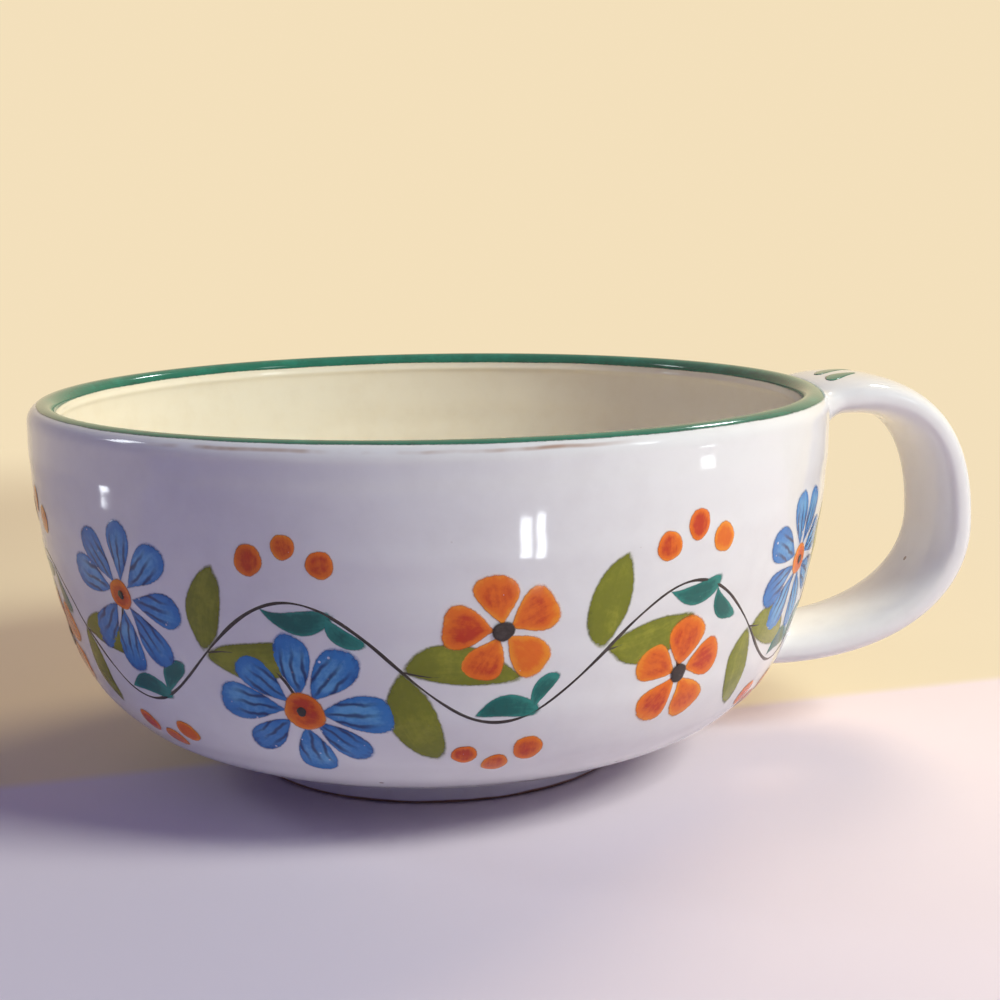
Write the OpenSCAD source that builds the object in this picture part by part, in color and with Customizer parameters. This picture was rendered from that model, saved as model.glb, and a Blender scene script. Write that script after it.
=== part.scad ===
// Soup mug: a thrown bowl on a foot ring, with a pulled strap handle luted on at
// the rim and low on the belly. White glaze covers the clay, a coloured band
// runs over the lip, and two brush strokes lie along the crown of the handle.
// Millimetres, +Z up, handle towards +X. The origin is the centre of the foot's
// standing face.

/* [Bowl] */
// Widest diameter, just under the lip, over the glaze
bowl_d = 141.4; // [130:0.2:160]
// Height of the lip's crest above the table
height = 66.4; // [58:0.2:80]
// Thickness of the fired clay wall and floor
wall = 4; // [3:0.1:5.5]
// Rounding radius of the belly, as a share of the bowl's overhang past its foot
belly_share = 0.736; // [0.62:0.002:0.78]
// Rounding radius of the underside between belly and foot, as the same kind of share
under_share = 1.008; // [0.85:0.002:1.2]
// Slope angle at which the belly turns into the underside
under_turn = 68; // [60:1:76]
// Rounding radius of the lip's outer half, over the glaze
lip_out_r = 2.9; // [2.4:0.1:3.2]
// Upright stretch between the lip's rounding and the widest point
lip_straight = 0.8; // [0.4:0.1:2]

/* [Foot] */
// Outside diameter of the foot ring
foot_d = 68; // [56:0.5:76]
// Width of the foot ring's standing face
foot_w = 5; // [3:0.1:8]
// Height of the bowl's underside above the table
foot_h = 5.5; // [3:0.1:8]
// Level rim of the underside outside the foot ring
foot_margin = 1.3; // [0.5:0.1:4]

/* [Glaze] */
// Thickness of the glaze coat
glaze = 0.4; // [0.2:0.05:0.7]
// How far the coloured band reaches down the outside of the lip from its crest
band_out = 0.8; // [0.5:0.1:2.2]
// How far the coloured band reaches down the inside of the lip from its crest
band_in = 1.7; // [0.5:0.1:3]
// How far the bowl's glaze laps over the top of the foot ring
glaze_lap = 0.6; // [0.5:0.1:1.5]

/* [Handle] */
// Thickness of the strap
strap_t = 6.4; // [4.5:0.1:8]
// Width of the strap at its upper end
strap_w_top = 27; // [18:0.5:30]
// Width of the strap at its lower end
strap_w_low = 21; // [14:0.5:28]
// How far the strap's outer face stands out from the bowl's widest point
reach = 29.2; // [22:0.1:36]
// Height of the handle's outermost point below the lip's crest
bow_drop = 27.4; // [20:0.2:32]
// Height of the strap's upper seat below the lip's crest
seat_drop = 3.8; // [3.4:0.1:6]
// Slope of the belly at the strap's lower seat
seat_turn = 42; // [34:1:52]
// Rise of the strap where it leaves the upper seat
rise_angle = 12; // [5:1:25]
// Rise of the strap where it leaves the lower seat
low_angle = -4; // [-10:1:15]

/* [Handle joints] */
// How far the pressed-on clay spreads around the strap
joint_spread = 2.2; // [1:0.1:3]
// How far the pressed-on clay stands out from the bowl's glaze
joint_h = 2; // [1:0.1:3]

/* [Brush strokes on the handle] */
// Length of each stroke along the handle
stroke_l = 8; // [5:0.5:14]
// Width of each stroke
stroke_w = 2.6; // [1.5:0.1:4]
// Clear distance between the two strokes
stroke_gap = 5.4; // [1:0.1:7]
// How far each stroke drifts across the handle over its length
stroke_drift = 6; // [0:0.5:7]
// Thickness of the colour
stroke_t = 0.2; // [0.1:0.05:0.4]
// Start of the strokes, measured along the handle from the upper seat
stroke_start = 4.5; // [4:0.5:12]

/* [Hidden] */
$fn = 96;
arc_steps = 8;
ring_sides = 28;
half_rings = 20;
oval_power = 2.5;
top_fullness = 0.75;
upper_fullness = 0.70;
lower_fullness = 0.62;
bottom_fullness = 0.62;
seat_overrun = 0.03;
over = 1;

bowl_r = bowl_d/2;
foot_r = foot_d/2;
overhang = bowl_r - foot_r;
belly_r = belly_share*overhang;
under_r = under_share*overhang;
full_wall = wall + 2*glaze;
lip_in_r = full_wall - lip_out_r;
lip_x = bowl_r - lip_out_r;
widest_z = height - lip_out_r - lip_straight;

// Centres of the three tangent arcs of the outer profile. The side arc's radius
// follows from its upright start at the widest point and from the belly arc.
under_c = [foot_r + foot_margin, foot_h + under_r];
belly_c = under_c + (under_r - belly_r)*down(under_turn);
belly_in = bowl_r - belly_c.x;
belly_up = widest_z - belly_c.y;
side_r = (belly_in^2 + belly_up^2 - belly_r^2)/(2*(belly_in - belly_r));
side_c = [bowl_r - side_r, widest_z];
side_turn = atan2(belly_up, side_r - belly_in);

// Unit vector at an angle below the horizontal
function down(a) = [cos(a), -sin(a)];
function arc(c, r, from, to) = [for (i = [0:arc_steps]) c + r*down(from + (to - from)*i/arc_steps)];
function backwards(list) = [for (i = [len(list) - 1:-1:0]) list[i]];

// Profile from the widest point down to the level underside, at depth d under
// the glazed outside
function side_curve(d) = concat(
    arc(side_c, side_r - d, 0, side_turn),
    arc(belly_c, belly_r - d, side_turn, under_turn),
    arc(under_c, under_r - d, under_turn, 90));

// Outer and inner halves of the lip, from the sides up to the crest and back, at
// depth d under the glazed surface
function lip_outer(d) = arc([lip_x, height - lip_out_r], lip_out_r - d, 0, -90);
function lip_inner(d) = arc([lip_x, height - lip_in_r], lip_in_r - d, -90, -180);
function lip(d) = concat(lip_outer(d), lip_inner(d));

// The bowl filled up to its crest, at depth d under the glazed outside
module filled_bowl(d) {
    rotate_extrude()
        polygon(concat([[0, height - d]], backwards(lip_outer(d)), side_curve(d), [[0, foot_h + d]]));
}

module bowl() {
    color("peru")
        rotate_extrude()
            polygon(concat(
                backwards(lip(glaze)), side_curve(glaze),
                [[0, foot_h + glaze], [0, foot_h + glaze + wall]],
                backwards(side_curve(glaze + wall))));
}

module foot_ring() {
    color("sienna")
        difference() {
            union() {
                cylinder(r = foot_r, h = foot_h);
                cylinder(r = foot_r - glaze_lap, h = foot_h + glaze);
            }
            translate([0, 0, -over])
                cylinder(r = foot_r - foot_w, h = foot_h + glaze + 2*over);
        }
}

// Half section of the whole glaze coat, outside, over the lip and inside
module coat() {
    polygon(concat(
        [[foot_r - glaze_lap, foot_h]], backwards(side_curve(0)), lip(0), side_curve(full_wall),
        [[0, foot_h + full_wall], [0, foot_h + full_wall - glaze]],
        backwards(side_curve(full_wall - glaze)), backwards(lip(glaze)), side_curve(glaze),
        [[foot_r - glaze_lap, foot_h + glaze]]));
}

// Half section of the space inside the middle of the wall
module inner_half() {
    polygon(concat(
        [[0, height + over], [lip_x, height + over]], side_curve(lip_out_r), [[0, foot_h + lip_out_r]]));
}

// Half section of the space over the lip that is coloured
module band_zone() {
    translate([lip_x, height - band_out])
        square([bowl_r, band_out + over]);
    translate([0, height - band_in])
        square([lip_x, band_in + over]);
}

module inner_glaze() {
    color("ivory")
        rotate_extrude()
            difference() {
                intersection() {
                    coat();
                    inner_half();
                }
                band_zone();
            }
}

module outer_glaze() {
    color("white")
        difference() {
            rotate_extrude()
                difference() {
                    coat();
                    inner_half();
                    band_zone();
                }
            joint_body(0);
            joint_body(1);
            strap(glaze);
        }
}

module rim_band() {
    color("seagreen")
        difference() {
            rotate_extrude()
                intersection() {
                    coat();
                    band_zone();
                }
            strap(glaze);
        }
}

// Centre line of the strap in the plane of the handle, as two curves that meet
// upright at the outermost point: s runs from the upper seat (0) to the lower (1)
top_seat = [lip_x, height - seat_drop];
bow = [bowl_r + reach - strap_t/2, height - bow_drop];
low_seat = belly_c + (belly_r - glaze - wall/2)*down(seat_turn);
upper_curve = [
    top_seat,
    top_seat + top_fullness*(bow.x - top_seat.x)*[1, tan(rise_angle)],
    bow + [0, upper_fullness*(top_seat.y - bow.y)],
    bow];
lower_curve = [
    bow,
    bow - [0, lower_fullness*(bow.y - low_seat.y)],
    low_seat + bottom_fullness*(bow.x - low_seat.x)*[1, tan(low_angle)],
    low_seat];

function bezier(p, t) = (1 - t)^3*p[0] + 3*(1 - t)^2*t*p[1] + 3*(1 - t)*t^2*p[2] + t^3*p[3];
function bezier_slope(p, t) =
    (1 - t)^2*(p[1] - p[0]) + 2*(1 - t)*t*(p[2] - p[1]) + t^2*(p[3] - p[2]);
function centre(s) = s < 0.5 ? bezier(upper_curve, 2*s) : bezier(lower_curve, 2*s - 1);
function slope(s) = s < 0.5 ? bezier_slope(upper_curve, 2*s) : bezier_slope(lower_curve, 2*s - 1);
function outward(s) = let (v = slope(s)) [-v.y, v.x]/norm(v);

// Length of the centre line between two places on it
function run(from, to, n = 40) = let (d = (to - from)/n)
    sum([for (i = [0:n - 1]) norm(centre(from + (i + 1)*d) - centre(from + i*d))]);
function sum(list) = list*[for (v = list) 1];

// Point of the strap's rounded oval at angle a, with its surface moved out by grow
function soft(v) = sign(v)*abs(v)^(2/oval_power);
function strap_w(s) = strap_w_top + (strap_w_low - strap_w_top)*s;
function strap_point(s, a, grow) =
    let (out = (strap_t/2 + grow)*soft(cos(a)), c = centre(s) + out*outward(s))
    [c.x, (strap_w(s)/2 + grow)*soft(sin(a)), c.y];

// Closed solid through rings of points, each ring listed the same way round
module skin(rings) {
    n = len(rings[0]);
    last = len(rings) - 1;
    sides = [for (r = [0:last - 1], i = [0:n - 1]) let (a = r*n + i, b = r*n + (i + 1)%n)
        each [[a, b, b + n], [a, b + n, a + n]]];
    first_cap = [for (i = [1:n - 2]) [0, i + 1, i]];
    last_cap = [for (i = [1:n - 2]) [last*n, last*n + i, last*n + i + 1]];
    polyhedron([for (ring = rings) each ring], concat(sides, first_cap, last_cap));
}

// The strap with its surface moved out by grow, and its ends run on past both seats
module strap(grow, run_on = 0) {
    count = 2*half_rings;
    places = [for (k = [0:count]) k/count];
    all_places = run_on > 0 ? concat([-run_on], places, [1 + run_on]) : places;
    skin([for (s = all_places) [for (i = [0:ring_sides - 1]) strap_point(s, 360*i/ring_sides, grow)]]);
}

module handle() {
    color("peru")
        difference() {
            strap(0);
            filled_bowl(glaze);
        }
}

module handle_glaze() {
    color("white")
        difference() {
            strap(glaze);
            strap(0, seat_overrun);
            filled_bowl(0);
            joint_zone();
        }
}

// Space around the bowl that the pressed-on clay may fill, up to the lip's rounding
module joint_zone() {
    rotate_extrude()
        polygon(concat(
            [[0, height - lip_out_r], [bowl_r + joint_h, height - lip_out_r]],
            side_curve(-joint_h), [[0, foot_h - joint_h]]));
}

// Oval of pressed-on clay around one end of the strap, before the strap and the
// bowl are taken out of it: end is 0 for the upper seat and 1 for the lower
module joint_body(end) {
    seat = centre(end);
    v = slope(end)*(end == 0 ? 1 : -1);
    half_t = strap_t/2 + joint_spread;
    half_w = strap_w(end)/2 + joint_spread;
    length = full_wall + 3*joint_h + strap_t;
    intersection() {
        translate([seat.x, 0, seat.y])
            rotate([0, 90 - atan2(v.y, v.x), 0])
                linear_extrude(length)
                    polygon([for (i = [0:ring_sides - 1]) let (a = 360*i/ring_sides)
                        [half_t*soft(cos(a)), half_w*soft(sin(a))]]);
        joint_zone();
    }
}

module joint(end) {
    color("bisque")
        difference() {
            joint_body(end);
            filled_bowl(glaze);
            strap(0, seat_overrun);
        }
}

module upper_joint() {
    joint(0);
}

module lower_joint() {
    joint(1);
}

// Two strokes of colour side by side on the crown of the handle
module handle_strokes() {
    whole = run(0, 0.5);
    from = 0.5*stroke_start/whole;
    to = 0.5*(stroke_start + stroke_l)/whole;
    steps = half_rings;
    color("seagreen")
        for (side = [-1, 1])
            skin([for (k = [0:steps]) let (s = from + (to - from)*k/steps)
                stroke_ring(s, side*(stroke_gap + stroke_w)/2 + stroke_drift*(k/steps - 0.5))]);
}

// Cross-section of one stroke: its underside lies on the strap's glaze
function stroke_ring(s, middle) = let (
    across = [for (k = [0:4]) middle + stroke_w*(k/4 - 0.5)])
    concat([for (y = across) crown_point(s, y, glaze)],
        [for (y = backwards(across)) crown_point(s, y, glaze + stroke_t)]);

// Point over the strap's outer face at a distance y across it
function crown_point(s, y, grow) = let (
    half = strap_w(s)/2 + glaze,
    a = asin(sign(y)*(abs(y)/half)^(oval_power/2)),
    out = (strap_t/2 + glaze)*soft(cos(a)) + grow - glaze,
    c = centre(s) + out*outward(s))
    [c.x, y, c.y];

bowl();
foot_ring();
handle();
upper_joint();
lower_joint();
inner_glaze();
outer_glaze();
handle_glaze();
rim_band();
handle_strokes();
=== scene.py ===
# %% [markdown]
# # A painted soup mug
# The mug is a thrown bowl on a foot ring, with a pulled strap handle, dipped in
# white glaze, banded in green over the lip and painted with a running vine.
# The solids that carry it are packed already. This file dresses them: each
# glazed surface is worked out from the same arcs and curves as the solids, only
# finer, and gets the small unevenness of work done by hand.

import bpy
import numpy as np
from mathutils import Matrix


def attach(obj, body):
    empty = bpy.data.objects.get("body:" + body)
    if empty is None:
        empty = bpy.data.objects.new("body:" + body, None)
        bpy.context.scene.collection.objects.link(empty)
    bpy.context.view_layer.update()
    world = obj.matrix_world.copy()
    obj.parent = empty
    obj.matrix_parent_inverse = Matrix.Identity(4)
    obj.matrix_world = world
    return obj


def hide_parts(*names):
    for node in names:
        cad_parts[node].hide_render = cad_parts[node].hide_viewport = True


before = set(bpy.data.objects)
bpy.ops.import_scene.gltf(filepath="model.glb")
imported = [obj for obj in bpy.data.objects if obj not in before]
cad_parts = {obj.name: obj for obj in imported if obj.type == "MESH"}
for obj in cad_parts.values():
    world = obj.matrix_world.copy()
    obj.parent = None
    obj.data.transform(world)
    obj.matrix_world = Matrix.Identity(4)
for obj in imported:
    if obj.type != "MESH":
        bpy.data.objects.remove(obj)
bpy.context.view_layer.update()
scene = bpy.context.scene
print("solids:", sorted(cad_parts))

# %% [markdown]
# ## The camera
# The camera comes first, so that every later choice is seen from the right
# place. Its height, turn and lens were fitted to the rim's ellipse and to the
# foot's edge. The handle stays on +X, and the camera walks round the mug
# instead.

# %% Camera
LENS = 61.2
SENSOR = 36.0
CAMERA_FAR = 0.30605
CAMERA_HIGH = 0.09998
CAMERA_TURN = np.radians(-96.0)
LOOK_TURN = np.radians(81.72)
LOOK_DOWN = np.radians(10.08)
ROLL = np.radians(-0.77)


def add(name, data):
    """A new object in the scene."""
    made = bpy.data.objects.new(name, data)
    scene.collection.objects.link(made)
    return made


def unit(v):
    """Vectors divided by their length."""
    return v/np.linalg.norm(v, axis=-1, keepdims=True)


def placed(right, up, back, place):
    """Matrix of an object that looks against its back axis; the axes are its columns."""
    whole = np.eye(4)
    whole[:3] = np.stack([right, up, back, place], axis=1)
    return Matrix(whole.tolist())


def camera_matrix():
    """The view runs along the look turn and dips by the look-down angle; right and up are
    then rolled about it."""
    level_share = np.cos(LOOK_DOWN)
    view = np.array([np.cos(LOOK_TURN)*level_share, np.sin(LOOK_TURN)*level_share, -np.sin(LOOK_DOWN)])
    level = np.array([np.sin(LOOK_TURN), -np.cos(LOOK_TURN), 0.0])
    over = np.cross(level, view)
    right = np.cos(ROLL)*level + np.sin(ROLL)*over
    up = np.cos(ROLL)*over - np.sin(ROLL)*level
    place = [CAMERA_FAR*np.cos(CAMERA_TURN), CAMERA_FAR*np.sin(CAMERA_TURN), CAMERA_HIGH]
    return placed(right, up, -view, place)


camera = add("camera", bpy.data.cameras.new("camera"))
camera.data.sensor_width = SENSOR
camera.data.lens = LENS
camera.data.clip_start = 0.01
camera.matrix_world = camera_matrix()
scene.camera = camera
scene.view_settings.view_transform = "Standard"
print("camera at", [round(v, 3) for v in camera.location])

# %% [markdown]
# ## One walk round the section
# A thrown bowl is the same section all the way round. Its outline is a chain of
# arcs and short straight legs: under the bowl, round the belly, up the side,
# over the lip, down inside and across the floor. If every leg is written as a
# centre that may slide, a radius and two angles, one formula gives any point of
# it from the length walked so far. Glaze coats, colour band and painting all
# sit on that walk.

# %% Sizes of the bowl, in millimetres
MM = 0.001
HEIGHT = 66.4
BOWL_R = 70.7
WALL = 4.0
GLAZE = 0.4
FULL_WALL = WALL + 2*GLAZE
LIP_OUT = 2.9
LIP_IN = FULL_WALL - LIP_OUT
LIP_X = BOWL_R - LIP_OUT
WIDEST_Z = HEIGHT - LIP_OUT - 0.8
FOOT_R = 34.0
FOOT_W = 5.0
FOOT_H = 5.5
LAP = 0.6
BELLY_R = 0.736*(BOWL_R - FOOT_R)
UNDER_R = 1.008*(BOWL_R - FOOT_R)
UNDER_TURN = np.radians(68.0)


def joined(*parts):
    """Numbers or arrays side by side, as the coordinates of points."""
    return np.stack(np.broadcast_arrays(*parts), axis=-1)


def down(angle):
    """Unit vector at an angle below the horizontal: cosine out, sine down."""
    return joined(np.cos(angle), -np.sin(angle))


UNDER_C = np.array([FOOT_R + 1.3, FOOT_H + UNDER_R])
BELLY_C = UNDER_C + (UNDER_R - BELLY_R)*down(UNDER_TURN)
BELLY_IN = BOWL_R - BELLY_C[0]
BELLY_UP = WIDEST_Z - BELLY_C[1]
SIDE_R = (BELLY_IN**2 + BELLY_UP**2 - BELLY_R**2)/(2*(BELLY_IN - BELLY_R))
SIDE_C = np.array([BOWL_R - SIDE_R, WIDEST_Z])
SIDE_TURN = np.arctan2(BELLY_UP, SIDE_R - BELLY_IN)
QUARTER = np.pi/2


def arc_leg(centre, radius, start, end, side=1.0):
    """A leg whose centre stays and whose angle runs; side -1 faces the centre."""
    return [*centre, *centre, radius, start, end, side]


def straight_leg(start, end, facing):
    """A leg without radius whose centre slides from start to end."""
    return [*start, *end, 0.0, facing, facing, 1.0]


LEGS = np.array([
    straight_leg((FOOT_R - LAP, FOOT_H), (UNDER_C[0], FOOT_H), QUARTER),
    arc_leg(UNDER_C, UNDER_R, QUARTER, UNDER_TURN),
    arc_leg(BELLY_C, BELLY_R, UNDER_TURN, SIDE_TURN),
    arc_leg(SIDE_C, SIDE_R, SIDE_TURN, 0.0),
    straight_leg((BOWL_R, WIDEST_Z), (BOWL_R, HEIGHT - LIP_OUT), 0.0),
    arc_leg((LIP_X, HEIGHT - LIP_OUT), LIP_OUT, 0.0, -QUARTER),
    arc_leg((LIP_X, HEIGHT - LIP_IN), LIP_IN, -QUARTER, -2*QUARTER),
    straight_leg((BOWL_R - FULL_WALL, HEIGHT - LIP_IN), (BOWL_R - FULL_WALL, WIDEST_Z), 2*QUARTER),
    arc_leg(SIDE_C, SIDE_R - FULL_WALL, 0.0, SIDE_TURN, -1.0),
    arc_leg(BELLY_C, BELLY_R - FULL_WALL, SIDE_TURN, UNDER_TURN, -1.0),
    arc_leg(UNDER_C, UNDER_R - FULL_WALL, UNDER_TURN, QUARTER, -1.0),
    straight_leg((UNDER_C[0], FOOT_H + FULL_WALL), (0.0, FOOT_H + FULL_WALL), -QUARTER)])
LEG_LENGTH = np.hypot(*(LEGS[:, 2:4] - LEGS[:, 0:2]).T) + LEGS[:, 4]*np.abs(LEGS[:, 6] - LEGS[:, 5])
LEG_END = np.cumsum(LEG_LENGTH)
LEG_START = LEG_END - LEG_LENGTH
RUN_LIP, RUN_CREST, RUN_FLOOR = LEG_START[5], LEG_END[5], LEG_END[-1]


def section(run):
    """Point (radius, height) and outward facing after walking a length along the outline:
    the leg's centre, slid by the share walked, plus the leg's radius along its angle."""
    run = np.clip(np.asarray(run, float), 0.0, RUN_FLOOR)
    leg = np.minimum(np.searchsorted(LEG_END, run), len(LEGS) - 1)
    row = LEGS[leg]
    share = ((run - LEG_START[leg])/LEG_LENGTH[leg])[..., None]
    facing = down((row[..., 5:6] + share*(row[..., 6:7] - row[..., 5:6]))[..., 0])
    point = row[..., 0:2] + share*(row[..., 2:4] - row[..., 0:2]) + row[..., 4:5]*facing
    return point, facing*row[..., 7:8]


print("walk: lip at %.1f, crest at %.1f, floor's centre at %.1f mm" % (RUN_LIP, RUN_CREST, RUN_FLOOR))

# %% [markdown]
# ## Marks of throwing
# A potter's fingers climb the wall in a slow spiral and leave soft rings, and a
# fired bowl is never quite round. Both are about a tenth of a millimetre, too
# little to see as shape, but a gloss glaze shows them in its reflections. They
# fade out at the foot and at the lip, where the bowl meets its neighbours.

# %% Surface of the bowl
RING_STEP = 8.6
FINE_STEP = 5.1
RING_DEPTH = 0.045
ROUND_OFF = 0.10
FADE_FOOT = 14.0
FADE_LIP = 9.0


def full_turn(count):
    """Equal steps all the way round, without the one that closes the circle."""
    return np.linspace(0, 2*np.pi, count, endpoint=False)


def spun(r, turn, z):
    """Points at a radius and a height, turned about the axis."""
    return joined(r*np.cos(turn), r*np.sin(turn), z)


def eased(share):
    """Soft step: three squares less two cubes of a share held between 0 and 1."""
    share = np.clip(share, 0.0, 1.0)
    return share*share*(3 - 2*share)


def throwing(turn, run):
    """Height of the throwing marks: two sine waves along the walk whose phase creeps with
    the turn, plus a two-lobed and a three-lobed roundness error, faded at lip and foot."""
    fade = eased(np.minimum(run/FADE_FOOT, np.abs(run - RUN_CREST)/FADE_LIP))
    rings = np.sin(2*np.pi*run/RING_STEP + turn + 0.7*np.sin(2*turn))
    fine = np.sin(2*np.pi*run/FINE_STEP - 2*turn + 1.3*np.cos(turn + 0.6))
    lobes = np.cos(2*turn + 0.6) + 0.5*np.cos(3*turn - 0.9)
    return fade*(RING_DEPTH*rings + 0.4*RING_DEPTH*fine + ROUND_OFF*lobes)


def on_bowl(turn, run, lift=0.0):
    """Point on the glazed bowl: the section's point, moved along its facing by the lift and
    the throwing marks, and turned about the axis."""
    point, facing = section(run)
    moved = point + (lift + throwing(turn, run))[..., None]*facing
    return spun(moved[..., 0], turn, moved[..., 1])


# %% [markdown]
# ## From arrays to meshes
# Every piece is a stack of rings. A stack either bites its own tail, as a tyre
# does, or ends in one point at each end, as a closed bag does. Many small bags
# of the same build can share one mesh, which is how all the petals of a colour
# become one piece.

# %% Mesh helpers
def ring_faces(rings, sides, tail=False):
    """Quads between neighbouring rings of equal side count, numbered ring by ring."""
    r = np.arange(rings if tail else rings - 1)[:, None]
    c = np.arange(sides)[None, :]
    r_next, c_next = (r + 1) % rings, (c + 1) % sides
    quads = joined(r*sides + c, r*sides + c_next, r_next*sides + c_next, r_next*sides + c)
    return quads.reshape(-1, 4)


def fan_faces(first, sides, tip, flip):
    """Triangles between one ring, whose numbers start at first, and a single tip."""
    c = np.arange(sides)
    ends = [first + c, first + (c + 1) % sides]
    return np.stack([*(ends[::-1] if flip else ends), np.full(sides, tip)], axis=-1)


def new_piece(name, points, quads, tris, marks=None):
    """A mesh object at the origin. Points are in millimetres. If the closed shape's volume,
    the sum of its corner tetrahedra, is negative, all faces are turned over."""
    points = np.asarray(points, float).reshape(-1, 3)
    corners = np.concatenate([quads[:, [0, 1, 2]], quads[:, [0, 2, 3]], tris])
    a, b, c = (points[corners[:, k]] for k in range(3))
    if np.einsum("ij,ij->", a, np.cross(b, c)) < 0:
        quads, tris = quads[:, ::-1], tris[:, ::-1]
    loops = np.concatenate([quads.ravel(), tris.ravel()]).astype(np.int32)
    sizes = np.concatenate([np.full(len(quads), 4), np.full(len(tris), 3)])
    mesh = bpy.data.meshes.new(name)
    mesh.vertices.add(len(points))
    mesh.vertices.foreach_set("co", (points*MM).ravel())
    mesh.loops.add(len(loops))
    mesh.loops.foreach_set("vertex_index", loops)
    mesh.polygons.add(len(sizes))
    mesh.polygons.foreach_set("loop_start", (np.cumsum(sizes) - sizes).astype(np.int32))
    mesh.polygons.foreach_set("use_smooth", np.ones(len(sizes), bool))
    mesh.update(calc_edges=True)
    for label, values in (marks or {}).items():
        stored = mesh.attributes.new(label, "FLOAT", "POINT")
        stored.data.foreach_set("value", np.ravel(values).astype(np.float32))
    print("%s: %d points, %d faces" % (name, len(points), len(sizes)))
    return add(name, mesh)


NO_TRIS = np.zeros((0, 3), int)


def tyre(name, points, marks=None):
    """Piece from a grid of points (ring, side) that closes on itself both ways."""
    rings, sides = points.shape[:2]
    return new_piece(name, points, ring_faces(rings, sides, tail=True), NO_TRIS, marks)


def bags(name, points, first_tips, last_tips, marks=None):
    """Piece of many closed bags from points (bag, ring, side) and one tip at each end of
    each bag. Marks are arrays (bag, ring, side), with one value or a pair for the tips."""
    count, rings, sides = points.shape[:3]
    body = rings*sides
    quads = ring_faces(rings, sides)
    tris = np.concatenate([
        fan_faces(0, sides, body, True), fan_faces(body - sides, sides, body + 1, False)])
    shift = (np.arange(count)*(body + 2))[:, None, None]
    tips = [first_tips[:, None], last_tips[:, None]]
    all_points = np.concatenate([points.reshape(count, body, 3), *tips], axis=1)
    flat = {}
    for label, (values, at_tips) in (marks or {}).items():
        on_body = np.broadcast_to(values, points.shape[:3]).reshape(count, body)
        ends = np.broadcast_to(np.asarray(at_tips, float), (count, 2))
        flat[label] = np.concatenate([on_body, ends], axis=1)
    quads, tris = (quads + shift).reshape(-1, 4), (tris + shift).reshape(-1, 3)
    return new_piece(name, all_points, quads, tris, flat)


def dress(piece, material, slot, *nodes):
    """Material, body and the solids that the piece stands for; the record slot is not used."""
    piece.data.materials.append(material)
    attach(piece, "root")
    if nodes:
        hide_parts(*nodes)


# %% [markdown]
# ## Glaze and colour as node groups
# Two effects come back in nearly every finish here. Glaze varies a little in
# tone, pools and thins, and carries pinholes where gas escaped in the kiln.
# Brushed colour varies with the load of the brush: thin in the stroke, thick at
# the edges where it dried last. Each is a group with its own inputs, built once.

# %% Node helpers
def plug(made, inputs):
    """Fills a node's inputs, each with a value or with another node's output socket."""
    for key, value in inputs.items():
        if isinstance(value, bpy.types.NodeSocket):
            made.id_data.links.new(value, made.inputs[key])
        else:
            made.inputs[key].default_value = value
    return made


def put(tree, kind, inputs=None, **settings):
    """A new node with its settings and inputs."""
    made = tree.nodes.new("ShaderNode" + kind)
    for key, value in settings.items():
        setattr(made, key, value)
    return plug(made, inputs or {})


def after(kind, inputs, **settings):
    """A new node in the tree that its first linked input comes from."""
    linked = next(value for value in inputs.values() if isinstance(value, bpy.types.NodeSocket))
    return put(linked.id_data, kind, inputs, **settings)


def sums(how, a, b=0.5, c=0.0):
    """One step of arithmetic on values or sockets."""
    return after("Math", {0: a, 1: b, 2: c}, operation=how).outputs[0]


def times(a, b, more=0.0):
    """a times b, plus more."""
    return sums("MULTIPLY_ADD", a, b, more)


def centred(value):
    """A value between 0 and 1 turned into one between -0.5 and 0.5."""
    return sums("SUBTRACT", value, 0.5)


def ramp(value, low, high, to_low=0.0, to_high=1.0):
    """A soft step: the value's way from low to high, eased at both ends."""
    steps = {0: value, 1: low, 2: high, 3: to_low, 4: to_high}
    return after("MapRange", steps, interpolation_type="SMOOTHSTEP").outputs[0]


def blend(share, a, b):
    """Colour a turned into colour b by a share."""
    return after("Mix", {0: share, 6: a, 7: b}, data_type="RGBA").outputs[2]


def noise(place, scale, detail=2.0, rough=0.5):
    """Soft noise between 0 and 1, with a scale in waves per metre."""
    waves = {"Vector": place, "Scale": scale, "Detail": detail, "Roughness": rough}
    return after("TexNoise", waves).outputs[0]


def from_axis(place):
    """Distance from the bowl's axis: the length of the level part of a place."""
    level = after("VectorMath", {0: place, 1: (1.0, 1.0, 0.0)}, operation="MULTIPLY").outputs[0]
    return after("VectorMath", {0: level}, operation="LENGTH").outputs[1]


def spots(place, scale, rare, size, edge):
    """Round spots in the cells of a cell pattern. Each cell's own number, past the rare
    bound, scales its spot up to the size; the edge is soft."""
    cells = after("TexVoronoi", {"Vector": place, "Scale": scale})
    pick = after("SeparateColor", {0: cells.outputs["Color"]}).outputs[0]
    reach = times(ramp(pick, rare, 1.0), size)
    return ramp(sums("SUBTRACT", reach, cells.outputs["Distance"]), 0.0, edge)


def group(name, inputs, outputs):
    """An empty group whose sockets are given by name and kind."""
    tree = bpy.data.node_groups.new(name, "ShaderNodeTree")
    for way, sockets in (("INPUT", inputs), ("OUTPUT", outputs)):
        for label, kind in sockets.items():
            tree.interface.new_socket(label, in_out=way, socket_type="NodeSocket" + kind)
    return tree, tree.nodes.new("NodeGroupInput").outputs, tree.nodes.new("NodeGroupOutput")


def rgb(red, green, blue):
    """A colour with full alpha."""
    return (red, green, blue, 1.0)


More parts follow.
